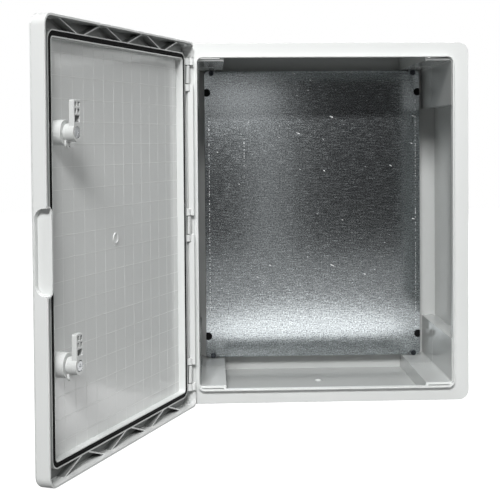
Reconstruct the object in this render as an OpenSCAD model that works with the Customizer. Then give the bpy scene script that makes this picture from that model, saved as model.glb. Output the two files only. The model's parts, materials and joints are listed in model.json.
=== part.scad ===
// Plastic wall cabinet for electrical equipment, 400 x 500 x 240 mm, shown with its door open.
// Frame: origin at the centre of the rear face, X to the right, Y towards the wall, Z up.

/* [Cabinet] */
// Overall width
cabinet_w = 400; // [380:1:460]
// Overall height
cabinet_h = 500; // [480:1:600]
// Overall depth with the door closed
cabinet_d = 240; // [200:1:300]
// Thickness of the side walls
wall = 3.5; // [2.5:0.1:4]
// Thickness of the rear wall
back_t = 4; // [3:0.1:6]
// Radius of the outer corners seen from the front
corner_r = 14; // [11:0.5:18]
// Thickness of the front flange
flange_t = 3.5; // [2.5:0.1:4]

/* [Corner columns] */
// Distance from the side of the cabinet to the inner face of a column
column_in_x = 24; // [23:0.5:30]
// Distance from the top of the cabinet to the inner face of a column
column_in_z = 25; // [24:0.5:32]
// Length of a column along the top or bottom wall
column_len_x = 60; // [45:1:80]
// Length of a column along a side wall
column_len_z = 86; // [60:1:110]
// Rear stretch of the column that stands in by one step
column_step_len = 86; // [40:1:100]
// Height of that step
column_step = 0.6; // [0.4:0.1:1.5]
// Radius in the inner corner of a column
column_fillet = 2.5; // [1:0.5:4]

/* [Sealing lip] */
// Distance from the outline to the outside of the lip
lip_inset = 20; // [19:0.5:21]
// How much further in the lip's upright runs stand
lip_more_x = 1; // [0:0.1:1.5]
// How much further out the lip's level runs stand
lip_less_z = 1.5; // [0:0.1:2]
// Thickness of the lip
lip_t = 2; // [1.5:0.1:2.5]
// Height of the lip in front of the flange
lip_h = 6.7; // [5:0.1:10]
// Radius inside the lip's corners
lip_corner_r = 7; // [6:0.5:9]

/* [Mounting plate] */
// Gap between the plate's sides and the columns
plate_gap_x = 7; // [1:0.1:20]
// Gap between the plate's top and bottom and the columns
plate_gap_z = 0.9; // [0.3:0.1:20]
// Thickness of the sheet
plate_t = 2; // [1:0.1:3]
// Radius of the plate's corners
plate_corner_r = 6.5; // [2:0.5:7]
// Depth of the folded top and bottom edges
plate_fold = 8; // [4:0.5:10]
// Distance of the fold's ends from the plate's sides
plate_fold_in = 19; // [18:1:60]
// Outer radius of the folds
fold_r = 3; // [2.5:0.1:5]
// Width of the slits that free the ends of the folds
fold_slit = 1.5; // [1:0.1:3]
// Height of the posts that carry the plate
post_h = 20; // [12:0.5:26]
// Radius of the posts
post_r = 4; // [3.4:0.1:4]
// How far a post is let into the rear wall
post_seat = 1.5; // [1:0.1:2]
// Gap around the seated end of a post
post_fit = 0.02; // [0.01:0.01:0.05]
// Distance of a plate screw from the plate's side
plate_screw_in_x = 11; // [9:0.5:16]
// Distance of a plate screw from the plate's top or bottom
plate_screw_in_z = 3.5; // [3.5:0.1:14]
// Width of a screw notch in the plate's edge
notch_w = 6.4; // [5.8:0.1:7.2]
// Gap between the end of a notch and its screw's shank
notch_fit = 0.2; // [0.1:0.05:0.4]
// Radius of the plate screws' shanks
plate_screw_r = 2.4; // [1.8:0.1:2.6]
// Radius of the plate screws' heads
plate_screw_head_r = 4; // [3.6:0.1:4]
// Height of the plate screws' heads
plate_screw_head_h = 2.8; // [2:0.1:4]
// Length of the plate screws' shanks
plate_screw_len = 13; // [8:0.5:15]

/* [Wall fixing] */
// Distance of a wall hole from the plate's side
wall_hole_in_x = 3.4; // [3:0.1:20]
// Distance of a wall hole from the plate's top or bottom
wall_hole_in_z = 33.5; // [22:0.5:60]
// Radius of the wall holes
wall_hole_r = 3.5; // [2.5:0.1:4.5]
// Radius of the access holes in the plate
access_r = 5.75; // [5:0.05:7]
// Steel left between an access hole's flat and the plate's side
access_edge = 1.2; // [1:0.1:3]

/* [Door] */
// Depth of the door
door_d = 20; // [19:0.5:24]
// Thickness of the door's front skin
door_skin = 3; // [2.5:0.1:3.5]
// Thickness of the door's side walls
door_wall = 2.5; // [2:0.1:2.8]
// Radius of the door's front edges
door_edge_r = 5; // [3:0.5:6]
// Gap between the closed door and the flange
door_gap = 0.3; // [0.3:0.05:0.6]
// How far the door stands open in this model
open_angle = 112; // [90:1:112]
// Width of the seal groove
groove_w = 5.6; // [5:0.1:7]
// Thickness of the groove's walls
groove_wall = 1.4; // [1.2:0.1:2]
// Height of the door's side walls above the groove's walls
groove_drop = 7; // [4:0.1:8]
// Height of the groove's floor above the door's inner face
groove_floor_h = 3.5; // [2:0.1:4]
// Gap between the seal and the groove's walls
seal_fit = 0.1; // [0.05:0.01:0.2]
// Gap between the seal and the lip of the closed cabinet
seal_gap = 0.3; // [0.3:0.05:0.5]

/* [Rib lattice] */
// Number of rib pairs along the top and along the bottom of the door
lattice_pairs = 3; // [1:1:3]
// Distance between rib pairs
lattice_pitch = 110; // [105:1:118]
// Length of one rib along the door
lattice_run = 40; // [25:1:42]
// Gap between the two ribs of a pair at the groove
lattice_gap = 15; // [6:1:20]
// Thickness of the ribs
lattice_t = 1.7; // [1.2:0.1:2.2]

/* [Finger grip] */
// Height of the grip
grip_h = 92; // [60:1:110]
// Depth of the grip into the door's free edge, at its rim
grip_depth = 10.5; // [9:0.1:14]
// How much shallower the grip is at its floor
grip_lean = 4.4; // [0:0.1:6]
// Radius between the grip's floor and its ends
grip_scoop_r = 11; // [4:0.5:14]
// Thickness of the wall behind the grip
grip_wall = 2.2; // [1.5:0.1:2.5]
// Radius at the ends of the wall behind the grip
grip_r = 7; // [3:0.5:9]
// Plastic left between the grip and the door's front face
grip_floor = 5; // [4:0.1:7]

/* [Hinges] */
// Distance of an outer hinge from the cabinet's top or bottom
hinge_in_z = 44; // [42:1:90]
// Distance of the hinge axis from the cabinet's side
hinge_in = 8; // [7.6:0.1:8.4]
// Distance of the hinge axis in front of the flange
hinge_out = 10; // [9.5:0.1:10.5]
// Radius of the hinge pins
pin_r = 2; // [1.5:0.1:2.5]
// How far a pin's ends stay inside the outer faces of its ears
pin_short = 0.5; // [0:0.1:1]
// Running gap between a pin and its knuckle
pin_run = 0.05; // [0.02:0.01:0.1]
// Gap between a pin and the ears that hold it
pin_hold = 0.02; // [0.01:0.01:0.05]
// Radius of the ears and knuckles
ear_r = 5; // [4.5:0.1:5]
// Height of an ear
ear_h = 9.5; // [6:0.5:11]
// Height of a knuckle
knuckle_h = 24; // [16:1:26]
// Gap between an ear and the door
ear_gap = 1.1; // [0.3:0.05:1.5]
// Distance from the hinge axis to the rail's side that faces out
rail_left = 1; // [0.5:0.1:1.5]
// Distance from the hinge axis to the rail's side that faces the lip
rail_right = 9.4; // [6:0.1:9.4]
// How far the rail reaches in front of the hinge axis
rail_front = 1; // [0:0.1:1]
// Thickness of the rail's foot under the knuckles
rail_foot = 2.5; // [2:0.1:3]
// How far the window for the rail reaches in front of the hinge axis
window_front = 5; // [4.8:0.1:5.4]

/* [Latches] */
// Distance of a latch from mid height
latch_z = 125; // [100:1:140]
// Distance of a latch from the door's free edge
latch_in = 41; // [41:0.5:46]
// Radius of the housing's barrel
barrel_r = 11; // [10:0.1:12]
// Gap between the barrel and the door or nut
barrel_fit = 0.1; // [0.05:0.01:0.2]
// Radius of the housing's outer flange
housing_r = 15; // [14:0.1:17]
// Thickness of the housing's outer flange
housing_t = 3; // [2.5:0.1:4]
// Thickness of the gasket under the flange
gasket_t = 1; // [0.8:0.1:1.5]
// Radius of the nut
nut_r = 14; // [13:0.1:14.5]
// Height of the nut
nut_h = 18; // [9:0.1:18.5]
// Radius of the rotor's shaft
rotor_r = 6; // [5.8:0.1:6.5]
// Radius of the rotor's outer head
rotor_head_r = 9; // [8:0.1:9.5]
// Height of the rotor's outer head
rotor_head_h = 3; // [2.5:0.1:3.5]
// Running gap between rotor and housing
rotor_run = 0.05; // [0.02:0.01:0.1]
// Gap between the faces of rotor and housing
rotor_gap = 0.3; // [0.3:0.05:0.5]
// Radius of the key recess
key_r = 5; // [4:0.1:5.5]
// Depth of the key recess
key_depth = 6; // [4:0.1:8]
// Radius of the post in the key recess
key_post_r = 2; // [1.5:0.1:2.5]
// Reach of the two key bits from the axis
key_bit = 3.6; // [3:0.1:3.9]
// Width of a key bit
key_bit_w = 1.6; // [1.2:0.1:2]
// Width of the square that carries stop and cam
square_w = 8; // [7:0.1:8.1]
// Gap around that square
square_fit = 0.1; // [0.05:0.01:0.15]
// Thickness of the stop
stop_t = 2.7; // [2:0.1:3]
// Radius of the stop's disc
stop_r = 9.5; // [8:0.1:11]
// Reach of the stop's finger from the axis
stop_reach = 16.5; // [15:0.5:20]
// Width of the stop's finger
stop_w = 9; // [6:0.5:10]
// Angle of the stop's finger away from straight down
stop_angle = 6; // [0:1:30]
// Radius of the cam's hub
cam_hub_r = 10; // [8:0.1:11]
// Width of the cam's arm
cam_w = 15; // [10:0.5:16]
// Thickness of the cam's arm
cam_t = 6; // [4:0.1:7]
// Reach of the cam's arm from the axis
cam_reach = 35; // [30:0.5:36]
// Radius of the corners at the cam's tip
cam_tip_r = 2; // [1:0.1:3]
// Depth of the pockets in the cam's face
cam_pocket = 5; // [1:0.1:5.2]
// Thickness of the webs between the pockets
cam_web = 2.4; // [1.5:0.1:2.5]
// Height of a small pocket
cam_cell = 4.8; // [3:0.1:6]
// Radius of the recess for the cam's screw
cam_recess_r = 6.4; // [6:0.1:7]
// Gap between the cam and the ledge that it grips
cam_gap = 0.3; // [0.3:0.05:0.6]
// Thickness of the ledges behind the flange
ledge_t = 4.6; // [1:0.1:5]
// Length of a ledge
ledge_len = 68; // [50:1:72]
// Radius of the cam screw's shank
cam_screw_r = 2.5; // [2:0.1:2.6]
// Radius of the cam screw's head
cam_screw_head_r = 5.6; // [5:0.1:6]
// Height of the cam screw's head
cam_screw_head_h = 3; // [2:0.1:4]
// Length of the cam screw's shank
cam_screw_len = 13; // [8:0.5:15]
// Gap between a screw and its hole
screw_fit = 0.02; // [0.01:0.01:0.05]

/* [Screw drives] */
// Length of the cross recess in a screw's head
cross_len = 5; // [4:0.1:5.6]
// Width of the cross recess
cross_w = 1.2; // [0.8:0.1:1.6]
// Depth of the cross recess
cross_depth = 1.5; // [0.8:0.1:1.7]

/* [Hidden] */
$fn = 64;
CORNERS = [["top_left", -1, 1], ["top_right", 1, 1], ["bottom_left", -1, -1], ["bottom_right", 1, -1]];
HINGES = [["top", 1], ["middle", 0], ["bottom", -1]];
LATCHES = [["upper", 1], ["lower", -1]];

abs_grey = "#dcdedd";
latch_white = "#e4e6e5";
steel_grey = "#a9adb0";
rubber_black = "#17181a";
screw_dark = "#33353a";

half_w = cabinet_w / 2;
half_h = cabinet_h / 2;
body_d = cabinet_d - door_d;
flange_y = -body_d;
lip_tip_y = flange_y - lip_h;
door_front_y = -cabinet_d;
door_back_y = flange_y - door_gap;
panel_y = door_front_y + door_skin;
groove_top_y = door_back_y - groove_drop;
groove_floor_y = panel_y + groove_floor_h;
seal_top_y = lip_tip_y - seal_gap;
seal_out = lip_inset + lip_t / 2 - groove_w / 2;
seal_in = seal_out + groove_w;
groove_out = seal_out - groove_wall;
groove_in = seal_in + groove_wall;
plate_w = cabinet_w - 2 * (column_in_x + column_step + plate_gap_x);
plate_h = cabinet_h - 2 * (column_in_z + column_step + plate_gap_z);
wall_hole_x = plate_w / 2 - wall_hole_in_x;
wall_hole_z = plate_h / 2 - wall_hole_in_z;
hinge_z = half_h - hinge_in_z;
axis_x = -half_w + hinge_in;
axis_y = flange_y - hinge_out;
plate_back_y = -back_t - post_h;
plate_front_y = plate_back_y - plate_t;
plate_screw_x = plate_w / 2 - plate_screw_in_x;
plate_screw_z = plate_h / 2 - plate_screw_in_z;
ear_low = knuckle_h / 2 + ear_gap;
ear_top = ear_low + ear_h;
rail_half = hinge_z + ear_top;
ledge_y = flange_y + flange_t + ledge_t;
// How far joined solids run into each other, and how far a cut runs past the face that it opens
overlap = 0.5;
cut = 1;

// Heights along a latch axis, measured from the door's front face towards the inside
latch_x = half_w - latch_in;
nut_top = door_skin + nut_h;
stop_low = nut_top + rotor_gap;
stop_top = stop_low + stop_t;
cam_low = ledge_y + cam_gap - door_front_y;
cam_top = cam_low + cam_t;
cam_seat = cam_top - cam_screw_head_h;
housing_face = -gasket_t - housing_t;
rotor_face = housing_face + rotor_gap;
rotor_seat = rotor_face + rotor_head_h;

// Corner radius of the seal's family of concentric outlines at a distance from the door's outline
function seal_radius(inset) = lip_corner_r + lip_inset + lip_t - inset;

// A flat shape drawn in X and Z, carried along Y from one depth to another
module slab(from_y, to_y) {
  translate([0, to_y, 0]) rotate([90, 0, 0]) linear_extrude(height = to_y - from_y) children();
}

module rounded_rect(w, h, r) {
  square([w - 2 * r, h], center = true);
  square([w, h - 2 * r], center = true);
  for (sx = [-1, 1], sz = [-1, 1]) translate([sx * (w / 2 - r), sz * (h / 2 - r)]) circle(r = r);
}

// The cabinet's outline drawn in by a distance, with its own corner radius
module outline(inset, r) {
  rounded_rect(cabinet_w - 2 * inset, cabinet_h - 2 * inset, r);
}

module inset_rect(in_x, in_z) {
  square([cabinet_w - 2 * in_x, cabinet_h - 2 * in_z], center = true);
}

// The family of outlines that lip, seal and groove share
module seal_outline(inset) {
  rounded_rect(cabinet_w - 2 * (inset + lip_more_x), cabinet_h - 2 * (inset - lip_less_z),
    seal_radius(inset));
}

module seal_ring(outer, inner) {
  difference() {
    seal_outline(outer);
    seal_outline(inner);
  }
}

// The room inside the cabinet: a rectangle between the columns and two wider ones between their ends
module room(grow, step) {
  rounded_rect(cabinet_w - 2 * (column_in_x + step - grow), cabinet_h - 2 * (column_in_z + step - grow),
    column_fillet + grow);
  inset_rect(column_len_x - grow, wall - grow);
  inset_rect(wall - grow, column_len_z - grow);
}

module at_corners(x, z) {
  for (sx = [-1, 1], sz = [-1, 1]) translate([sx * x, 0, sz * z]) children();
}

// A cylinder along Y from one depth to another
module rod_y(from_y, to_y, r) {
  translate([0, to_y, 0]) rotate([90, 0, 0]) cylinder(r = r, h = to_y - from_y);
}

// Pads behind the flange that the closed cams grip
module latch_ledges() {
  ledge_in = lip_inset + lip_t + lip_more_x;
  for (latch = LATCHES) slab(flange_y, ledge_y)
    translate([half_w - ledge_in, latch[1] * latch_z - ledge_len / 2])
      square([ledge_in - wall / 2, ledge_len]);
}

module cabinet_body() {
  color(abs_grey) difference() {
    union() {
      slab(flange_y, 0) difference() {
        outline(0, corner_r);
        outline(wall, corner_r - wall);
      }
      slab(flange_y, 0) difference() {
        intersection() {
          room(wall, 0);
          outline(0, corner_r);
        }
        room(0, 0);
      }
      slab(-column_step_len, 0) difference() {
        room(wall, 0);
        room(0, column_step);
      }
      slab(-back_t, 0) room(wall, 0);
      slab(flange_y, flange_y + flange_t) difference() {
        outline(0, corner_r);
        seal_outline(lip_inset + lip_t);
      }
      slab(lip_tip_y, flange_y + overlap) seal_ring(lip_inset, lip_inset + lip_t);
      latch_ledges();
    }
    at_corners(plate_screw_x, plate_screw_z) rod_y(-back_t - cut, post_seat - back_t, post_r + post_fit);
    at_corners(wall_hole_x, wall_hole_z) rod_y(-back_t - cut, cut, wall_hole_r);
  }
}

// The plate's section in Y and Z where its top and bottom edges are folded back
module folded_section() {
  bend_y = plate_front_y + fold_r;
  bend_z = plate_h / 2 - fold_r;
  translate([plate_front_y, -bend_z]) square([plate_t, 2 * bend_z]);
  for (s = [0, 1]) mirror([0, s]) translate([bend_y, bend_z]) {
    translate([0, fold_r - plate_t]) square([plate_back_y + plate_fold - bend_y, plate_t]);
    intersection() {
      difference() {
        circle(r = fold_r);
        circle(r = fold_r - plate_t);
      }
      translate([-fold_r, 0]) square(fold_r);
    }
  }
}

// A notch for a screw's shank in the plate's upper edge, drawn in X and Z about the screw
module screw_notch() {
  end_r = plate_screw_r + notch_fit;
  side = notch_w / 2 - end_r;
  translate([-notch_w / 2, 0]) square([notch_w, plate_screw_in_z + cut]);
  translate([-side, -end_r]) square([2 * side, end_r]);
  for (s = [-1, 1]) translate([s * side, 0]) circle(r = end_r);
}

module mounting_plate() {
  fold_w = plate_w - 2 * plate_fold_in;
  gap_w = fold_w + 2 * fold_slit;
  color(steel_grey) difference() {
    union() {
      slab(plate_front_y, plate_back_y) difference() {
        rounded_rect(plate_w, plate_h, plate_corner_r);
        for (s = [-1, 1]) translate([0, s * plate_h / 2]) square([gap_w, 2 * fold_r], center = true);
      }
      translate([-fold_w / 2, 0, 0]) rotate([90, 0, 90]) linear_extrude(height = fold_w) folded_section();
    }
    slab(plate_front_y - cut, plate_back_y + cut) for (sx = [-1, 1], s = [0, 1])
      mirror([0, s]) translate([sx * plate_screw_x, plate_screw_z]) screw_notch();
    slab(plate_front_y - cut, plate_back_y + cut) intersection() {
      for (sx = [-1, 1], sz = [-1, 1])
        translate([sx * wall_hole_x, sz * wall_hole_z]) circle(r = access_r);
      square([plate_w - 2 * access_edge, plate_h], center = true);
    }
  }
}

// A post let into the rear wall, bored for the plate's screw
module plate_post(sx, sz) {
  color(abs_grey) translate([sx * plate_screw_x, 0, sz * plate_screw_z]) difference() {
    rod_y(plate_back_y, post_seat - back_t, post_r);
    rod_y(plate_back_y - cut, post_seat - back_t + cut, plate_screw_r + screw_fit);
  }
}

// A pan-head screw with its seat at height 0 and its shank pointing down
module pan_screw(shank_r, shank_len, head_r, head_h) {
  translate([0, 0, -shank_len]) cylinder(r = shank_r, h = shank_len + overlap);
  difference() {
    cylinder(r = head_r, h = head_h);
    for (turn = [0, 90]) rotate(turn) translate([-cross_len / 2, -cross_w / 2, head_h - cross_depth])
      cube([cross_len, cross_w, cross_depth + cut]);
  }
}

module plate_screw(sx, sz) {
  color(screw_dark) translate([sx * plate_screw_x, plate_front_y, sz * plate_screw_z]) rotate([90, 0, 0])
    pan_screw(plate_screw_r, plate_screw_len, plate_screw_head_r, plate_screw_head_h);
}

// A rail along the flange, cut away at the door's knuckles, with a round ear for the pins at each cut
module hinge_rail() {
  cutaway_w = ear_r + rail_right + 2 * cut;
  color(abs_grey) difference() {
    union() {
      translate([axis_x - rail_left, axis_y - rail_front, -rail_half])
        cube([rail_left + rail_right, rail_front + hinge_out, 2 * rail_half]);
      for (site = HINGES, low = [ear_low, -ear_top])
        translate([axis_x, axis_y, site[1] * hinge_z + low]) cylinder(r = ear_r, h = ear_h);
    }
    for (site = HINGES)
      translate([axis_x - ear_r - cut, axis_y - ear_r - cut, site[1] * hinge_z - ear_low])
        cube([cutaway_w, ear_r + hinge_out + cut - rail_foot, 2 * ear_low]);
    translate([axis_x, axis_y, -rail_half - cut]) cylinder(r = pin_r + pin_hold, h = 2 * (rail_half + cut));
  }
}

module hinge_pin(level) {
  reach = ear_top - pin_short;
  color(steel_grey) translate([axis_x, axis_y, level * hinge_z - reach])
    cylinder(r = pin_r, h = 2 * reach);
}

// Turns what belongs to the door from its closed place to the open one
module swing() {
  translate([axis_x, axis_y, 0]) rotate([0, 0, -open_angle]) translate([-axis_x, -axis_y, 0]) children();
}

// The door's outer form: a rounded slab whose front edges are rounded too
module door_block() {
  edge_y = door_front_y + door_edge_r;
  slab(edge_y, door_back_y) outline(0, corner_r);
  slab(door_front_y, edge_y) outline(door_edge_r, corner_r - door_edge_r);
  for (s = [-1, 1]) {
    translate([corner_r - half_w, edge_y, s * (half_h - door_edge_r)]) rotate([0, 90, 0])
      cylinder(r = door_edge_r, h = cabinet_w - 2 * corner_r);
    translate([s * (half_w - door_edge_r), edge_y, corner_r - half_h])
      cylinder(r = door_edge_r, h = cabinet_h - 2 * corner_r);
  }
  at_corners(half_w - corner_r, half_h - corner_r) translate([0, edge_y, 0]) rotate([90, 0, 0])
    rotate_extrude() translate([corner_r - door_edge_r, 0]) circle(r = door_edge_r);
}

// One rib of the lattice between the door's side wall and the groove, lying at the top of the door
module lattice_rib(x_wall, x_groove) {
  z_wall = half_h - door_wall + overlap;
  z_groove = half_h - groove_out + lip_less_z - overlap;
  length = norm([x_groove - x_wall, z_groove - z_wall]);
  translate([x_wall, z_wall]) rotate(atan2(z_groove - z_wall, x_groove - x_wall))
    translate([0, -lattice_t / 2]) square([length, lattice_t]);
}

module lattice() {
  for (s = [0, 1]) mirror([0, s]) for (i = [0:lattice_pairs - 1], side = [-1, 1]) {
    middle = (i - (lattice_pairs - 1) / 2) * lattice_pitch;
    groove_end = lattice_gap / 2;
    lattice_rib(middle + side * (groove_end + lattice_run), middle + side * groove_end);
  }
}

// The block behind the grip, drawn in X and Z
module grip_block() {
  translate([half_w, 0])
    rounded_rect(2 * (grip_depth + grip_wall), grip_h + 2 * grip_wall, grip_r + grip_wall);
}

// The hollow of the grip: ends rounded into its floor, and a back wall that leans outwards
module grip_scoop() {
  floor_y = door_front_y + grip_floor;
  rim_y = flange_y + cut;
  end_z = grip_h / 2 - grip_scoop_r;
  intersection() {
    translate([half_w - grip_depth - cut, 0, 0]) rotate([90, 0, 90])
    linear_extrude(height = grip_depth + 3 * cut) {
      translate([floor_y, -end_z]) square([rim_y - floor_y, 2 * end_z]);
      translate([floor_y + grip_scoop_r, -grip_h / 2]) square([rim_y - floor_y - grip_scoop_r, grip_h]);
      for (s = [-1, 1]) translate([floor_y + grip_scoop_r, s * end_z]) circle(r = grip_scoop_r);
    }
    translate([0, 0, -grip_h / 2 - cut]) linear_extrude(height = grip_h + 2 * cut) polygon([
      [half_w - grip_depth + grip_lean, floor_y - cut], [half_w + cut, floor_y - cut],
      [half_w + cut, rim_y + cut], [half_w - grip_depth, rim_y + cut]]);
  }
}

module knuckles() {
  post_left = hinge_in - door_wall + overlap;
  post_front = axis_y - panel_y + overlap;
  for (site = HINGES) translate([axis_x, axis_y, site[1] * hinge_z - knuckle_h / 2])
    linear_extrude(height = knuckle_h) {
      circle(r = ear_r);
      translate([-post_left, -post_front]) square([post_left + ear_r, post_front]);
    }
}

// Opening in the door's hinged wall that lets the rail pass
module rail_window() {
  window_half = rail_half + ear_gap;
  translate([-half_w - cut, axis_y - window_front, -window_half])
    cube([hinge_in - ear_r + cut, window_front + hinge_out + cut, 2 * window_half]);
}

// Rounds the hinged wall's free edge about the hinge axis, so that it turns clear of the flange
module hinge_relief() {
  difference() {
    translate([-half_w - cut, axis_y, -half_h - cut])
      cube([hinge_in + cut, hinge_out + cut, cabinet_h + 2 * cut]);
    translate([axis_x, axis_y, -half_h - 2 * cut])
      cylinder(r = hinge_out - door_gap, h = cabinet_h + 4 * cut);
  }
}

module door() {
  color(abs_grey) swing() difference() {
    union() {
      difference() {
        door_block();
        slab(panel_y, flange_y + cut) outline(door_wall, corner_r - door_wall);
      }
      slab(panel_y - overlap, groove_floor_y) seal_ring(groove_out, groove_in);
      slab(panel_y - overlap, groove_top_y) seal_ring(groove_out, seal_out);
      slab(panel_y - overlap, groove_top_y) seal_ring(seal_in, groove_in);
      slab(panel_y - overlap, groove_top_y) lattice();
      slab(panel_y - overlap, door_back_y) intersection() {
        grip_block();
        outline(door_wall / 2, corner_r - door_wall / 2);
      }
      knuckles();
    }
    grip_scoop();
    rail_window();
    hinge_relief();
    translate([axis_x, axis_y, -half_h - cut]) cylinder(r = pin_r + pin_run, h = cabinet_h + 2 * cut);
    for (latch = LATCHES) translate([latch_x, 0, latch[1] * latch_z])
      rod_y(door_front_y - cut, panel_y + cut, barrel_r + barrel_fit);
  }
}

module door_seal() {
  color(rubber_black) swing() slab(groove_floor_y, seal_top_y)
    seal_ring(seal_out + seal_fit, seal_in - seal_fit);
}

// Places a latch piece drawn along Z, with height 0 at the door's front face and -Y upwards
module at_latch(level) {
  swing() translate([latch_x, door_front_y, level * latch_z]) rotate([-90, 0, 0]) children();
}

// A cylinder between two heights
module post(low, high, r) {
  translate([0, 0, low]) cylinder(r = r, h = high - low);
}

module square_post(low, high, w) {
  translate([-w / 2, -w / 2, low]) cube([w, w, high - low]);
}

module latch_housing(level) {
  color(latch_white) at_latch(level) difference() {
    union() {
      post(housing_face, -gasket_t, housing_r);
      post(-gasket_t - overlap, nut_top, barrel_r);
    }
    post(housing_face - cut, rotor_seat + rotor_gap, rotor_head_r + rotor_run);
    post(housing_face, nut_top + cut, rotor_r + rotor_run);
  }
}

module latch_gasket(level) {
  color(rubber_black) at_latch(level) difference() {
    post(-gasket_t, 0, nut_r);
    post(-gasket_t - cut, cut, barrel_r + barrel_fit);
  }
}

module latch_nut(level) {
  color(latch_white) at_latch(level) difference() {
    post(door_skin, nut_top, nut_r);
    post(door_skin - cut, nut_top + cut, barrel_r + barrel_fit);
  }
}

module latch_rotor(level) {
  color(latch_white) at_latch(level) difference() {
    union() {
      post(rotor_face, rotor_seat, rotor_head_r);
      post(rotor_seat - overlap, stop_low, rotor_r);
      square_post(stop_low - overlap, cam_seat - rotor_gap, square_w);
    }
    difference() {
      post(rotor_face - cut, rotor_face + key_depth, key_r);
      post(rotor_face - 2 * cut, rotor_face + key_depth + cut, key_post_r);
      translate([-key_bit, -key_bit_w / 2, rotor_face]) cube([2 * key_bit, key_bit_w, key_depth]);
    }
    post(cam_seat - cam_screw_len - cut, cam_top, cam_screw_r + screw_fit);
  }
}

module latch_stop(level) {
  color(latch_white) at_latch(level) difference() {
    union() {
      post(stop_low, stop_top, stop_r);
      rotate(90 - stop_angle) {
        translate([0, -stop_w / 2, stop_low]) cube([stop_reach - stop_w / 2, stop_w, stop_t]);
        translate([stop_reach - stop_w / 2, 0, 0]) post(stop_low, stop_top, stop_w / 2);
      }
    }
    square_post(stop_low - cut, stop_top + cut, square_w + 2 * square_fit);
  }
}

// Pockets in the cam's arm: two rows of two small cells at the tip and one wide cell below them
module cam_pockets() {
  inner_w = cam_w - 2 * cam_web;
  cell_w = (inner_w - cam_web) / 2;
  first = cam_reach - cam_web - cam_cell;
  wide_low = cam_hub_r + cam_web / 2;
  wide_high = first - 2 * cam_web - cam_cell;
  for (column = [0, 1], row = [0, 1])
    translate([column * (cell_w + cam_web) - inner_w / 2, row * (cam_cell + cam_web) - first - cam_cell])
      square([cell_w, cam_cell]);
  translate([-inner_w / 2, -wide_high]) square([inner_w, wide_high - wide_low]);
}

module latch_cam(level) {
  color(latch_white) at_latch(level) difference() {
    union() {
      post(stop_top, cam_top, cam_hub_r);
      translate([0, -cam_reach / 2, cam_low]) linear_extrude(height = cam_t)
        rounded_rect(cam_w, cam_reach, cam_tip_r);
    }
    square_post(stop_top - cut, cam_top + cut, square_w + 2 * square_fit);
    post(cam_seat, cam_top + cut, cam_recess_r);
    translate([0, 0, cam_top - cam_pocket]) linear_extrude(height = cam_pocket + cut) cam_pockets();
  }
}

module latch_screw(level) {
  color(steel_grey) at_latch(level) translate([0, 0, cam_seat])
    pan_screw(cam_screw_r, cam_screw_len, cam_screw_head_r, cam_screw_head_h);
}

cabinet_body();
mounting_plate();
for (corner = CORNERS) {
  plate_post(corner[1], corner[2]);
  plate_screw(corner[1], corner[2]);
}
hinge_rail();
for (site = HINGES) hinge_pin(site[1]);
door();
door_seal();
for (latch = LATCHES) {
  latch_housing(latch[1]);
  latch_gasket(latch[1]);
  latch_nut(latch[1]);
  latch_rotor(latch[1]);
  latch_stop(latch[1]);
  latch_cam(latch[1]);
  latch_screw(latch[1]);
}
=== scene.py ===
# Plastic wall cabinet for electrical equipment, standing with its door open on a pale studio floor.
# Metres, in the part's own frame: origin at the centre of the rear face, X right, Y to the wall, Z up.
import json
import math

import bmesh
import bpy
import numpy as np
from mathutils import Matrix

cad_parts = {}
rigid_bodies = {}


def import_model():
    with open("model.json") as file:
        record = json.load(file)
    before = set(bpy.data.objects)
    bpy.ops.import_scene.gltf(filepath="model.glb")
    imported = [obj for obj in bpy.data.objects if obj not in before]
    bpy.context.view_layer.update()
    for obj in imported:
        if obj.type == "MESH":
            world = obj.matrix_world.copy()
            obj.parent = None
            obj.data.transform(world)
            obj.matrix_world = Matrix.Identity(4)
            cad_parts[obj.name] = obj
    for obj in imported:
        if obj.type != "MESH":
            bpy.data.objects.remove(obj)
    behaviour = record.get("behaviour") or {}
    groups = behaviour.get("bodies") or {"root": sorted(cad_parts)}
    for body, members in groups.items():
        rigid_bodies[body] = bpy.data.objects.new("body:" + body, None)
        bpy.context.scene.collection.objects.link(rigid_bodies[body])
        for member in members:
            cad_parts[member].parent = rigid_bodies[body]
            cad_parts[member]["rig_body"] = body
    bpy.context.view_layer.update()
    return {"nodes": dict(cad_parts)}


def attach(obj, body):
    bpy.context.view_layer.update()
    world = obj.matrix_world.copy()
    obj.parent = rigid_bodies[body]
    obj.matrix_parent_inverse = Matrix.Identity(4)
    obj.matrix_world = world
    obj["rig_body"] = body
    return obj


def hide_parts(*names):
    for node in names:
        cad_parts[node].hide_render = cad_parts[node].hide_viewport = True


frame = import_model()
scene = bpy.context.scene
mm = 0.001

# The view: a long lens at the height of the upper half, square on to the front, a little to the left.
# The lens tilts down only a little and the frame is shifted for the rest, so upright edges stay parallel.
eye = np.array([-160.4, -1750.5, 114.4]) * mm
yaw, roll, tilt = math.radians(2.444), math.radians(-0.408), math.radians(-1.65)
ahead = np.array([math.sin(yaw) * math.cos(tilt), math.cos(yaw) * math.cos(tilt), math.sin(tilt)])
level_right = np.array([math.cos(yaw), -math.sin(yaw), 0.0])
upright = np.cross(level_right, ahead)
view_right = level_right * math.cos(roll) + upright * math.sin(roll)
view_up = upright * math.cos(roll) - level_right * math.sin(roll)
view_axes = np.eye(4)
view_axes[:3, 0], view_axes[:3, 1], view_axes[:3, 2], view_axes[:3, 3] = view_right, view_up, -ahead, eye
camera_data = bpy.data.cameras.new("camera")
camera_data.lens, camera_data.sensor_width = 79.7, 36.0
camera_data.shift_x, camera_data.shift_y = -0.0144, -0.1539
camera_data.clip_start, camera_data.clip_end = 0.05, 50.0
camera = bpy.data.objects.new("camera", camera_data)
camera.matrix_world = Matrix(view_axes.tolist())
scene.collection.objects.link(camera)
scene.camera = camera
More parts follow.
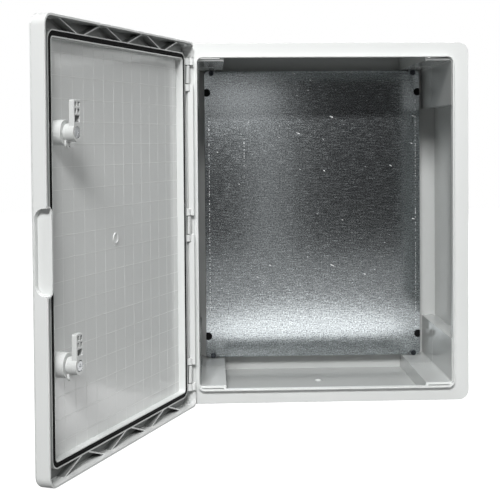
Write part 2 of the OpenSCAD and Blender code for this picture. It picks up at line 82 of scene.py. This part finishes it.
scene.view_settings.view_transform = "Standard"


# The studio: a white surround that the lens sees, and a dark room for the light and the mirror images,
# so that the steel plate has something dark to show.
def linear(colour):
    """An sRGB hex colour as linear red, green, blue and alpha 1."""
    steps = np.array([int(colour[i : i + 2], 16) for i in (1, 3, 5)]) / 255.0
    lit = np.where(steps <= 0.04045, steps / 12.92, ((steps + 0.055) / 1.055) ** 2.4)
    return (*lit.tolist(), 1.0)


def add(tree, kind, inputs=None, **settings):
    """A node of this kind with its settings; inputs are values, or sockets that are linked to it."""
    node = tree.nodes.new(kind)
    for name, value in settings.items():
        setattr(node, name, value)
    for name, value in (inputs or {}).items():
        socket = node.inputs[name]
        if isinstance(value, bpy.types.NodeSocket):
            tree.links.new(value, socket)
        else:
            socket.default_value = value
    return node


studio = bpy.data.worlds.new("studio")
scene.world = studio
studio.use_nodes = True
tree = studio.node_tree
tree.nodes.clear()
seen = add(tree, "ShaderNodeLightPath").outputs["Is Camera Ray"]
room_light, lens_white = 0.035, 1.0
strength = add(tree, "ShaderNodeMapRange", {"Value": seen, "To Min": room_light, "To Max": lens_white})
glow = add(tree, "ShaderNodeBackground", {"Color": linear("#ffffff"), "Strength": strength.outputs["Result"]})
add(tree, "ShaderNodeOutputWorld", {"Surface": glow.outputs[0]})


def softbox(name, place, target, width, height, power):
    """A rectangular lamp at place that faces target, sizes in metres."""
    lamp = bpy.data.lights.new(name, "AREA")
    lamp.shape, lamp.size, lamp.size_y, lamp.energy = "RECTANGLE", width, height, power
    holder = bpy.data.objects.new(name, lamp)
    back = np.array(place) - np.array(target)
    back = back / np.linalg.norm(back)
    side = np.cross([0.0, 0.0, 1.0], back)
    side = side / np.linalg.norm(side)
    axes = np.eye(4)
    axes[:3, 0], axes[:3, 1], axes[:3, 2], axes[:3, 3] = side, np.cross(back, side), back, place
    holder.matrix_world = Matrix(axes.tolist())
    scene.collection.objects.link(holder)
    return holder


# The main light is two lamps: a broad one that only shades, and a small one that only gives highlights and
# mirror images. The glows are faint bright places of the room, which show as soft patches in the plate.
cabinet_front = (0.0, -0.2, 0.05)
softbox("key_lamp", (-0.57, -3.44, 2.21), cabinet_front, 1.2, 0.8, 145.0).visible_glossy = False
softbox("sheen_lamp", (-0.3, -2.95, 1.30), cabinet_front, 0.26, 0.12, 76.0).visible_diffuse = False
softbox("top_lamp", (-0.15, -0.88, 2.4), (0.0, -0.25, 0.0), 0.5, 0.12, 17.0)
softbox("side_lamp", (1.75, -0.42, 0.95), (-0.25, -0.4, 0.0), 0.7, 0.9, 11.0)
softbox("back_lamp", (0.5, 2.6, 1.5), (0.0, -0.1, 0.0), 1.2, 1.0, 70.0)
softbox("left_lamp", (-2.4, 0.9, 1.2), (-0.3, -0.4, 0.0), 1.0, 1.0, 40.0)
softbox("window_glow", (-0.06, -1.95, 0.26), (-0.06, 0.0, 0.25), 0.24, 0.14, 0.10)
softbox("room_glow", (0.04, -2.1, -0.12), (0.04, 0.0, -0.12), 0.12, 0.60, 0.10)

floor_z, floor_sides = -0.2502, np.array([[-3.0, -1.7], [3.0, -1.7], [3.0, 4.0], [-3.0, 4.0]])
floor_mesh = bpy.data.meshes.new("studio_floor")
floor_mesh.from_pydata(np.column_stack([floor_sides, np.full(4, floor_z)]).tolist(), [], [[0, 1, 2, 3]])
studio_floor = bpy.data.objects.new("studio_floor", floor_mesh)
scene.collection.objects.link(studio_floor)
# White paper that is bright to the lens. To mirrors it glows only in a painted pool in front of the cabinet,
# which the steel plate shows as a painted reflection.
paper = bpy.data.materials.new("white_paper_sweep")
paper.use_nodes = True
tree = paper.node_tree
shader = tree.nodes["Principled BSDF"]
shader.inputs["Base Color"].default_value = linear("#808080")
shader.inputs["Roughness"].default_value = 0.9
shader.inputs["Emission Color"].default_value = linear("#ffffff")
path = add(tree, "ShaderNodeLightPath")
pool_middle, pool_reach, pool_light = (0.035, -0.41, floor_z), (0.25, 0.30, 1.0), 1.62
pool_core, pool_edge = 0.5, 1.25
place = add(tree, "ShaderNodeTexCoord").outputs["Object"]
spot = add(tree, "ShaderNodeVectorMath", {0: place, 1: pool_middle}, operation="SUBTRACT")
spot = add(tree, "ShaderNodeVectorMath", {0: spot.outputs[0], 1: pool_reach}, operation="DIVIDE")
spread = add(tree, "ShaderNodeVectorMath", {0: spot.outputs[0]}, operation="LENGTH")
fade = add(tree, "ShaderNodeMapRange", {"Value": spread.outputs["Value"], "From Min": pool_core,
                                        "From Max": pool_edge, "To Min": pool_light, "To Max": 0.0},
           interpolation_type="SMOOTHSTEP")
mirrored = add(tree, "ShaderNodeMath", {0: path.outputs["Is Glossy Ray"], 1: fade.outputs["Result"]},
               operation="MULTIPLY")
washed = add(tree, "ShaderNodeMath", {0: path.outputs["Is Camera Ray"], 1: mirrored.outputs[0]},
             operation="ADD")
tree.links.new(washed.outputs[0], shader.inputs["Emission Strength"])
floor_mesh.materials.append(paper)


# Cabinet body: a deep tray injection moulded in light grey ABS, with a flange and a sealing lip at the
# front and hollow columns in its corners. The outside has a fine spark texture, the inside is polished.
def softened(node, edge_mm, materials):
    """A copy of a CAD node with its doubled vertices merged and its sharp edges rounded. The node's own
    normals are dropped, because they would show the old edges through the rounding."""
    crease = math.radians(28)
    work = bmesh.new()
    work.from_mesh(frame["nodes"][node].data)
    bmesh.ops.remove_doubles(work, verts=work.verts, dist=1e-6)
    mesh = bpy.data.meshes.new(node + "_look")
    work.to_mesh(mesh)
    work.free()
    if "custom_normal" in mesh.attributes:
        mesh.attributes.remove(mesh.attributes["custom_normal"])
    mesh.polygons.foreach_set("use_smooth", np.ones(len(mesh.polygons), bool))
    mesh.set_sharp_from_angle(angle=crease)
    mesh.materials.clear()
    for material in materials:
        mesh.materials.append(material)
    mesh.polygons.foreach_set("material_index", np.zeros(len(mesh.polygons), np.int32))
    piece = bpy.data.objects.new(node + "_look", mesh)
    scene.collection.objects.link(piece)
    edges = piece.modifiers.new("edges", "BEVEL")
    edges.width, edges.segments, edges.limit_method = edge_mm * mm, 2, "ANGLE"
    edges.angle_limit, edges.use_clamp_overlap, edges.harden_normals = crease, False, True
    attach(piece, frame["nodes"][node]["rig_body"])
    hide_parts(node)
    return piece


def moulded_abs(name, colour, roughness, grain_mm, grain_depth_mm):
    """Injection-moulded ABS: an even grey with a faint cloudiness from the flow of the melt, and the
    grain of the mould's own surface in its gloss."""
    material = bpy.data.materials.new(name)
    material.use_nodes = True
    tree = material.node_tree
    shader = tree.nodes["Principled BSDF"]
    shader.inputs["IOR"].default_value = 1.53
    place = add(tree, "ShaderNodeTexCoord").outputs["Object"]
    cloud_mm = 111
    cloud = add(tree, "ShaderNodeTexNoise", {"Vector": place, "Scale": 1 / (cloud_mm * mm), "Detail": 3.0})
    base = np.array(linear(colour))
    dull, pale = base * [0.965, 0.965, 0.96, 1], np.minimum(base * [1.03, 1.03, 1.03, 1], 1)
    tint = add(tree, "ShaderNodeMix", {"Factor": cloud.outputs["Fac"], "A": tuple(dull), "B": tuple(pale)},
               data_type="RGBA")
    tree.links.new(tint.outputs[2], shader.inputs["Base Color"])
    grain = add(tree, "ShaderNodeTexNoise", {"Vector": place, "Scale": 1.0 / (grain_mm * mm), "Detail": 2.0})
    gloss = add(tree, "ShaderNodeMapRange", {"Value": grain.outputs["Fac"], "From Min": 0.3, "From Max": 0.7,
                                             "To Min": roughness * 0.85, "To Max": roughness * 1.15})
    tree.links.new(gloss.outputs["Result"], shader.inputs["Roughness"])
    bump = add(tree, "ShaderNodeBump", {"Height": grain.outputs["Fac"], "Strength": 0.6,
                                        "Distance": grain_depth_mm * mm})
    tree.links.new(bump.outputs["Normal"], shader.inputs["Normal"])
    return material


def read(items, field, width=3, kind=float):
    """One field of all faces, edges or vertices of a mesh as an array, with a row for each of them."""
    flat = np.empty(len(items) * width, kind)
    items.foreach_get(field, flat)
    return flat.reshape(-1, width)


half_w, half_h, skin = 200 * mm, 250 * mm, 3.2 * mm
lip_y, rear_y = -216.8 * mm, -3.5 * mm
# The spark texture's grain is drawn 0.9 mm wide, coarser than such textures are, so that it shows.
abs_textured = moulded_abs("textured_abs", "#dfe1e0", 0.38, 0.9, 0.035)
# The inside's polished ABS is a darker grey than the door's polished inside of the same ABS: partly painted
# shade for the inside of the tray.
abs_polished_shade = moulded_abs("polished_abs", "#c5c7c6", 0.1, 6.0, 0.01)
body = softened("cabinet_body", 0.5, [abs_textured, abs_polished_shade])
x, y, z = read(body.data.polygons, "center").T
inside = (np.abs(x) < half_w - skin) & (np.abs(z) < half_h - skin) & (y > lip_y) & (y < rear_y)
body.data.polygons.foreach_set("material_index", inside.astype(np.int32))
# The edges of the wall holes stay plain, because rounding them draws a dark line across the rear wall.
wall_hole_x, wall_hole_z, wall_hole_reach = 165 * mm, 190 * mm, 5 * mm
ends = read(body.data.edges, "vertices", 2, np.int32)
x, y, z = read(body.data.vertices, "co")[ends].mean(axis=1).T
drilled = np.hypot(np.abs(x) - wall_hole_x, np.abs(z) - wall_hole_z) < wall_hole_reach
sharp = read(body.data.attributes["sharp_edge"].data, "value", 1, bool)[:, 0]
rounded = body.data.attributes.new("bevel_weight_edge", "FLOAT", "EDGE")
rounded.data.foreach_set("value", (sharp & ~drilled).astype(np.float32))
body.modifiers["edges"].limit_method = "WEIGHT"

# Hinge rail and pins: a strip of the same ABS along the left flange with three gaps for the door's
# knuckles, and plain steel pins with a dark oxide finish pushed through from the ends. The pins' near-black
# is partly painted shade for the knuckle gaps.
rail = softened("hinge_rail", 0.5, [abs_textured])


def plated_steel(name, colour, roughness, grain_mm):
    """Plated or oxidised steel: metallic, with a fine matt grain."""
    material = bpy.data.materials.new(name)
    material.use_nodes = True
    tree = material.node_tree
    shader = tree.nodes["Principled BSDF"]
    shader.inputs["Metallic"].default_value = 1.0
    place = add(tree, "ShaderNodeTexCoord").outputs["Object"]
    grain = add(tree, "ShaderNodeTexNoise", {"Vector": place, "Scale": 1.0 / (grain_mm * mm), "Detail": 3.0})
    base = np.array(linear(colour))
    dull = base * [0.85, 0.85, 0.85, 1]
    tint = add(tree, "ShaderNodeMix", {"Factor": grain.outputs["Fac"], "A": tuple(dull), "B": tuple(base)},
               data_type="RGBA")
    tree.links.new(tint.outputs[2], shader.inputs["Base Color"])
    gloss = add(tree, "ShaderNodeMapRange", {"Value": grain.outputs["Fac"], "To Min": roughness * 0.7,
                                             "To Max": roughness * 1.3})
    tree.links.new(gloss.outputs["Result"], shader.inputs["Roughness"])
    return material


# The near-black colour is partly the oxide and partly painted shade in the knuckle gaps.
dark_steel_and_shade = plated_steel("oxidised_steel_and_shade", "#2a2b2d", 0.4, 0.8)
for site in ("top", "middle", "bottom"):
    pin = softened("hinge_pin_" + site, 0.3, [dark_steel_and_shade])

# Mounting plate: galvanised steel sheet, rolled, cut and folded back at top and bottom. Small zinc
# crystals give it a grain that glints in the light, the rolls leave level dashes, and handling scratches it.
galvanised = bpy.data.materials.new("galvanised_sheet")
galvanised.use_nodes = True
tree = galvanised.node_tree
shader = tree.nodes["Principled BSDF"]
shader.inputs["Metallic"].default_value = 1.0
place = add(tree, "ShaderNodeTexCoord").outputs["Object"]
# The crystals are drawn about 2 mm wide, coarser than they may be on the real sheet, so that they show.
crystal_size = np.array([2.4, 2.0, 1.8]) * mm
crystal = add(tree, "ShaderNodeMapping", {"Vector": place, "Scale": tuple(1 / crystal_size)})
grain = add(tree, "ShaderNodeTexNoise", {"Vector": crystal.outputs[0], "Scale": 1.0, "Detail": 2.0,
                                         "Roughness": 0.6})
dash_size = np.array([14.0, 9.0, 1.6]) * mm
rolled = add(tree, "ShaderNodeMapping", {"Vector": place, "Scale": tuple(1 / dash_size)})
dashes = add(tree, "ShaderNodeTexNoise", {"Vector": rolled.outputs[0], "Scale": 1.0, "Detail": 2.0})
mark_size, mark_slant = np.array([13.0, 9.0, 3.4]) * mm, -0.4
tilted = add(tree, "ShaderNodeVectorRotate", {"Vector": place, "Angle": mark_slant}, rotation_type="Y_AXIS")
marks = add(tree, "ShaderNodeMapping", {"Vector": tilted.outputs[0], "Scale": tuple(1 / mark_size)})
handled = add(tree, "ShaderNodeTexNoise", {"Vector": marks.outputs[0], "Scale": 1.0, "Detail": 1.0})
scratch = add(tree, "ShaderNodeMapRange", {"Value": handled.outputs["Fac"], "From Min": 0.755,
                                           "From Max": 0.79, "To Max": 0.7})
# Rubbed lines 7 mm inside both upright edges, broken into dots, as a guide may leave them.
rub_x, rub_half_w, rub_half_h = 161.5 * mm, 0.4 * mm, 180 * mm
apart = add(tree, "ShaderNodeSeparateXYZ", {0: place})
aside = add(tree, "ShaderNodeMath", {0: apart.outputs["X"]}, operation="ABSOLUTE")
near = add(tree, "ShaderNodeMath", {0: aside.outputs[0], 1: rub_x, 2: rub_half_w}, operation="COMPARE")
high = add(tree, "ShaderNodeMath", {0: apart.outputs["Z"], 1: 0.0, 2: rub_half_h}, operation="COMPARE")
stretch = add(tree, "ShaderNodeMath", {0: near.outputs[0], 1: high.outputs[0]}, operation="MULTIPLY")
dots = add(tree, "ShaderNodeMapRange", {"Value": grain.outputs["Fac"], "From Min": 0.5, "From Max": 0.62,
                                        "To Max": 0.75})
rubbed = add(tree, "ShaderNodeMath", {0: stretch.outputs[0], 1: dots.outputs["Result"]}, operation="MULTIPLY")
scratch = add(tree, "ShaderNodeMath", {0: scratch.outputs["Result"], 1: rubbed.outputs[0]}, operation="MAXIMUM")
# One long scratch down the upper left part, where something was dragged along the plate.
drag_x, drag_half_w, drag_z, drag_half_h = -107 * mm, 0.3 * mm, 85 * mm, 34 * mm
beside = add(tree, "ShaderNodeMath", {0: apart.outputs["X"], 1: drag_x, 2: drag_half_w}, operation="COMPARE")
along = add(tree, "ShaderNodeMath", {0: apart.outputs["Z"], 1: drag_z, 2: drag_half_h}, operation="COMPARE")
dragged = add(tree, "ShaderNodeMath", {0: beside.outputs[0], 1: along.outputs[0]}, operation="MULTIPLY")
dragged = add(tree, "ShaderNodeMath", {0: dragged.outputs[0], 1: dots.outputs["Result"]}, operation="MULTIPLY")
scratch = add(tree, "ShaderNodeMath", {0: scratch.outputs[0], 1: dragged.outputs[0]}, operation="MAXIMUM")
facet = add(tree, "ShaderNodeMapRange", {"Value": grain.outputs["Fac"], "From Min": 0.36, "From Max": 0.68})
line = add(tree, "ShaderNodeMapRange", {"Value": dashes.outputs["Fac"], "From Min": 0.42, "From Max": 0.8})
matt = add(tree, "ShaderNodeMath", {0: facet.outputs["Result"], 1: line.outputs["Result"]},
           operation="MULTIPLY")
dash_share = 0.38
shine = add(tree, "ShaderNodeMix", {"Factor": dash_share, "A": facet.outputs["Result"],
                                    "B": line.outputs["Result"]})
tint = add(tree, "ShaderNodeMix", {"Factor": shine.outputs[0], "A": linear("#858a8d"), "B": linear("#f6fcfe")},
           data_type="RGBA")
pale = add(tree, "ShaderNodeMix", {"Factor": scratch.outputs[0], "A": tint.outputs[2], "B": linear("#ffffff")},
           data_type="RGBA")
tree.links.new(pale.outputs[2], shader.inputs["Base Color"])
rough_low, rough_high, rough_scratch = 0.155, 0.265, 0.6
gloss = add(tree, "ShaderNodeMapRange", {"Value": matt.outputs[0], "To Min": rough_low, "To Max": rough_high})
worn = add(tree, "ShaderNodeMix", {"Factor": scratch.outputs[0], "A": gloss.outputs["Result"],
                                   "B": rough_scratch})
tree.links.new(worn.outputs[0], shader.inputs["Roughness"])
bump = add(tree, "ShaderNodeBump", {"Height": grain.outputs["Fac"], "Strength": 0.3, "Distance": 0.05 * mm})
tree.links.new(bump.outputs["Normal"], shader.inputs["Normal"])
plate = softened("mounting_plate", 0.45, [galvanised])


# Grommets: black rubber discs pressed into the plate's four access holes, closed until the cabinet is hung
# up. They sit in the sheet, and are cut off straight beside the plate's edge as the holes are.
def turned_profile(middle, radii, depths, sides=32):
    """A profile of radii and depths turned about an axis along Y through middle: row i, side j lies at
    radius r_i, angle 2 pi j / sides and depth d_i. Rows at radius 0 close the ends."""
    angle = np.arange(sides) * 2 * np.pi / sides
    points = np.stack([middle[0] + radii[:, None] * np.cos(angle), middle[1] + depths[:, None] + 0 * angle,
                       middle[2] + radii[:, None] * np.sin(angle)], -1)
    row, side = np.meshgrid(np.arange(len(radii) - 1), np.arange(sides), indexing="ij")
    this, after = row * sides + side, row * sides + (side + 1) % sides
    faces = np.stack([this, after, after + sides, this + sides], -1)
    return points.reshape(-1, 3), faces.reshape(-1, 4)


def as_piece(name, points, faces, material, body_name, smooth=False):
    """A new piece from arrays of points and faces, facing outwards, that moves with a body."""
    mesh = bpy.data.meshes.new(name)
    mesh.from_pydata(points.tolist(), [], faces.tolist())
    work = bmesh.new()
    work.from_mesh(mesh)
    bmesh.ops.remove_doubles(work, verts=work.verts, dist=1e-7)
    bmesh.ops.recalc_face_normals(work, faces=work.faces)
    work.to_mesh(mesh)
    work.free()
    mesh.polygons.foreach_set("use_smooth", np.full(len(mesh.polygons), smooth))
    mesh.materials.append(material)
    piece = bpy.data.objects.new(name, mesh)
    scene.collection.objects.link(piece)
    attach(piece, body_name)
    return piece


rubber = bpy.data.materials.new("foamed_rubber")
rubber.use_nodes = True
tree = rubber.node_tree
shader = tree.nodes["Principled BSDF"]
place = add(tree, "ShaderNodeTexCoord").outputs["Object"]
pores = add(tree, "ShaderNodeTexNoise", {"Vector": place, "Scale": 1 / (0.7 * mm), "Detail": 3.0})
tint = add(tree, "ShaderNodeMix", {"Factor": pores.outputs["Fac"], "A": linear("#020202"),
                                   "B": linear("#080809")}, data_type="RGBA")
tree.links.new(tint.outputs[2], shader.inputs["Base Color"])
shader.inputs["Roughness"].default_value = 0.75
shader.inputs["Specular IOR Level"].default_value = 0.2
bump = add(tree, "ShaderNodeBump", {"Height": pores.outputs["Fac"], "Strength": 0.5, "Distance": 0.05 * mm})
tree.links.new(bump.outputs["Normal"], shader.inputs["Normal"])
plate_front, flat_out = -26.0 * mm, 3.2 * mm
grommet_radii = np.array([0, 2.6, 4.6, 5.2, 5.65, 5.7, 5.7, 5.2, 0]) * mm
grommet_rise = np.array([-0.25, -0.3, -0.35, -0.5, -0.35, -0.1, 2.0, 2.3, 2.3]) * mm
grommet_points, grommet_faces = [], []
for side in (-1, 1):
    for level in (-1, 1):
        points, faces = turned_profile((0.0, plate_front, level * wall_hole_z), grommet_radii, grommet_rise)
        points[:, 0] = side * (wall_hole_x + np.minimum(points[:, 0], flat_out))
        grommet_faces.append(faces + len(points) * len(grommet_points))
        grommet_points.append(points)
grommets = as_piece("plate_grommets", np.concatenate(grommet_points), np.concatenate(grommet_faces), rubber,
                    "cabinet", True)
grommets.data.set_sharp_from_angle(angle=math.radians(40))

# Posts and screws of the plate: four moulded posts of the body's ABS let into the rear wall, and pan-head
# screws of black zinc-plated steel that go through the plate's notches into them.
black_zinc = plated_steel("black_zinc_steel", "#4a4d52", 0.35, 0.6)
for corner in ("top_left", "top_right", "bottom_left", "bottom_right"):
    post = softened("plate_post_" + corner, 0.4, [abs_polished_shade])
    screw = softened("plate_screw_" + corner, 0.3, [black_zinc])

# Door: one moulding of the same ABS, textured outside and polished inside, with a groove for the seal,
# ribs in the channel round it, a finger grip, and a raised grid of fine lines on the inner panel.
abs_bright = moulded_abs("bright_polished_abs", "#dcdedd", 0.12, 6.0, 0.01)
# Darker than the door's other ABS: partly painted shade for the channel round the door.
abs_matt_shade = moulded_abs("matt_abs_painted_shade", "#7e807f", 0.5, 1.2, 0.03)
door = softened("door", 0.2, [abs_textured, abs_bright, abs_matt_shade])
open_angle = math.radians(112.0)
axis_x, axis_y = -192 * mm, -230 * mm


def opened(points):
    """Points of the closed door turned about the hinge axis to where the door stands open."""
    away_x, away_y = points[..., 0] - axis_x, points[..., 1] - axis_y
    c, s = math.cos(open_angle), math.sin(open_angle)
    return np.stack([axis_x + away_x * c + away_y * s, axis_y - away_x * s + away_y * c, points[..., 2]], -1)


def closed(points):
    """Points of the open door turned back to where they lie on the closed one."""
    away_x, away_y = points[..., 0] - axis_x, points[..., 1] - axis_y
    c, s = math.cos(open_angle), math.sin(open_angle)
    return np.stack([axis_x + away_x * c - away_y * s, axis_y + away_x * s + away_y * c, points[..., 2]], -1)


x, y, z = closed(read(door.data.polygons, "center")).T
# Inset from the door's rounded outline: the corner arc's radius less the distance past the arc's centre, which
# is the larger of past_x and past_z where both are negative.
round_r = 14 * mm
past_x, past_z = np.abs(x) - (half_w - round_r), np.abs(z) - (half_h - round_r)
beyond = np.hypot(np.maximum(past_x, 0), np.maximum(past_z, 0))
inset = round_r - beyond - np.minimum(np.maximum(past_x, past_z), 0)
rim_w, inner_y = 2.3 * mm, -237.2 * mm
inside = (inset > rim_w) & (y > inner_y)
# The channel's floor and the sides of its ribs are matt, as from an unpolished mould, and darker, which partly
# stands in for the shade that the photograph shows there. The wall of the finger grip stays polished.
channel_rim, channel_y, channel_x, channel_z = 2.8 * mm, -227.5 * mm, 183.3 * mm, 234.8 * mm
grip_half_h = 60 * mm
channel = (inset > channel_rim) & ((np.abs(x) > channel_x) | (np.abs(z) > channel_z))
deep = inside & channel & (y < channel_y) & ((x < 0) | (np.abs(z) > grip_half_h))
door.data.polygons.foreach_set("material_index", inside.astype(np.int32) + deep)

panel_x, panel_y, panel_z = 173.7 * mm, -237 * mm, 226.2 * mm
line_w, line_h, line_sunk, line_pitch = 0.75 * mm, 0.2 * mm, 0.05 * mm, 25 * mm
across = (np.arange(14) - 6.5) * line_pitch
upward = (np.arange(18) - 8.5) * line_pitch


def ribs(places, reach, turned):
    """Low straight ribs with sloping sides at these places: eight corners each, from -reach to reach."""
    side = np.array([-1.0, -0.4, 0.4, 1.0]) * line_w / 2
    high = np.array([0.0, 1.0, 1.0, 0.0]) * line_h - line_sunk
    ends = np.array([-reach, reach])
    u = places[:, None, None] + side[None, None, :] + 0 * ends[None, :, None]
    v = ends[None, :, None] + 0 * u
    w = panel_y + high[None, None, :] + 0 * u
    points = np.stack([v, w, u] if turned else [u, w, v], -1)
    corner = np.arange(len(places))[:, None, None] * 8
    quads = np.array([[0, 1, 5, 4], [1, 2, 6, 5], [2, 3, 7, 6], [0, 4, 7, 3], [0, 3, 2, 1], [4, 5, 6, 7]])
    return opened(points.reshape(-1, 3)), (corner + quads[None]).reshape(-1, 4)


upright_points, upright_faces = ribs(across, panel_z, False)
level_points, level_faces = ribs(upward, panel_x, True)
as_piece("door_grid_lines", np.concatenate([upright_points, level_points]),
         np.concatenate([upright_faces, level_faces + len(upright_points)]), abs_textured, "door")

# Gate marks: the scars that stay where the melt entered the moulds, a low ring on the door's inner panel and
# a dot on the cabinet's floor, of the same ABS.
door_gate, floor_gate = (11 * mm, panel_y, -1 * mm), np.array([0.0, -97.0, -246.5]) * mm
gate_radii = np.array([0, 2.0, 3.2, 3.9, 4.5, 5.3, 5.9, 6.6, 7.0, 0]) * mm
gate_rise = np.array([0.3, 0.3, 0.1, 0.05, 0.1, 1.1, 1.2, 0.9, -0.1, -0.1]) * mm
points, faces = turned_profile(door_gate, gate_radii, gate_rise)
as_piece("door_gate_mark", opened(points), faces, abs_textured, "door", True)
dot_radii = np.array([0, 1.8, 3.8, 5.4, 0]) * mm
dot_rise = np.array([1.7, 1.6, 1.0, -0.1, -0.1]) * mm
points, faces = turned_profile((0.0, 0.0, 0.0), dot_radii, dot_rise)
as_piece("floor_gate_mark", floor_gate + points[:, [0, 2, 1]], faces, abs_textured, "cabinet",
         True)

# Door seal: a black foamed-rubber ring poured into the groove, crowned, with the dent that the lip of
# the closed cabinet has pressed into it.
seal_out, seal_in = 18.3 * mm, 23.7 * mm
seal_low, seal_high = -233.5 * mm, -227 * mm
further_x, nearer_z = 1.0 * mm, 1.5 * mm
corner_inset = 29 * mm
shoulder, dent_depth, dent_width = 0.82, 0.07, 0.13
turn = np.linspace(0, np.pi / 2, 17)
angles = np.concatenate([turn + k * np.pi / 2 for k in range(4)])
quadrant = np.repeat(np.arange(4), len(turn))
middle_x = np.where((quadrant == 0) | (quadrant == 3), 1, -1) * (half_w - corner_inset - further_x)
middle_z = np.where(quadrant < 2, 1, -1) * (half_h - corner_inset + nearer_z)
share = np.linspace(0, 1, 21)
# Across the ring the height rises from the shoulder to 1 as a fourth power, less a bell-shaped dent.
crown = 1 - np.abs(2 * share - 1) ** 4
dent = dent_depth * np.exp(-(((share - 0.5) / dent_width) ** 2))
height = seal_low + (seal_high - seal_low) * (shoulder + (1 - shoulder) * crown - dent)
seal_inset = np.concatenate([[seal_out], seal_out + (seal_in - seal_out) * share, [seal_in]])
depth = np.concatenate([[seal_low], height, [seal_low]])
# A point lies on the corner's circle of radius corner_inset - seal_inset, and straight runs join the corners.
ring_r = corner_inset - seal_inset
ring = np.stack([middle_x[:, None] + ring_r * np.cos(angles)[:, None], np.tile(depth, (len(angles), 1)),
                 middle_z[:, None] + ring_r * np.sin(angles)[:, None]], -1)
number = np.arange(ring[..., 0].size).reshape(ring.shape[:2])
ahead_row, ahead_column = np.roll(number, -1, 0), np.roll(number, -1, 1)
faces = np.stack([number, ahead_column, np.roll(ahead_row, -1, 1), ahead_row], -1).reshape(-1, 4)
seal = as_piece("door_seal_look", opened(ring.reshape(-1, 3)), faces, rubber, "door", True)
seal.data.set_sharp_from_angle(angle=math.radians(50))
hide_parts("door_seal")

# Quarter-turn latches: a white moulded housing clamped through the door by a round nut, and inside it a
# rotor that carries a stop and a cam, held by a screw.
latch_white = moulded_abs("latch_plastic", "#d2d4d3", 0.3, 1.5, 0.02)
# A dark plastic that is painted shade for the cam's pockets.
latch_pocket_shade = moulded_abs("latch_plastic_painted_shade", "#5c5e5d", 0.6, 1.5, 0.02)
bright_zinc = plated_steel("bright_zinc_steel", "#e4e6e8", 0.5, 0.8)
# The cam's arm is 15 mm wide and 35 mm long, with pockets 5 mm deep. A darker, matt plastic on their floors and
# on two of their walls stands in for the deep shade that the photograph shows there.
pocket_half_w, pocket_from, pocket_to = 6.5 * mm, 9 * mm, 33.9 * mm
pocket_rim, pocket_floor = 0.5 * mm, 5.2 * mm
for level, axis_z in (("upper", 125 * mm), ("lower", -125 * mm)):
    for name in ("housing", "nut", "rotor", "stop"):
        piece = softened(f"{level}_latch_{name}", 0.35, [latch_white])
    cam = softened(f"{level}_latch_cam", 0.35, [latch_white, latch_pocket_shade])
    centres, normals = read(cam.data.polygons, "center"), read(cam.data.polygons, "normal")
    x, y, z = closed(centres).T
    facing = closed(centres + normals).T - (x, y, z)
    aside, up_arm, down = np.abs(x - (x.min() + x.max()) / 2), z - axis_z, y.max() - y
    pocket = (aside < pocket_half_w) & (up_arm > pocket_from) & (up_arm < pocket_to)
    pocket &= (down > pocket_rim) & (down < pocket_floor) & (facing[0] < 0.5) & (facing[2] < 0.5)
    cam.data.polygons.foreach_set("material_index", pocket.astype(np.int32))
    gasket = softened(f"{level}_latch_gasket", 0.2, [rubber])
    screw = softened(f"{level}_latch_screw", 0.3, [bright_zinc])
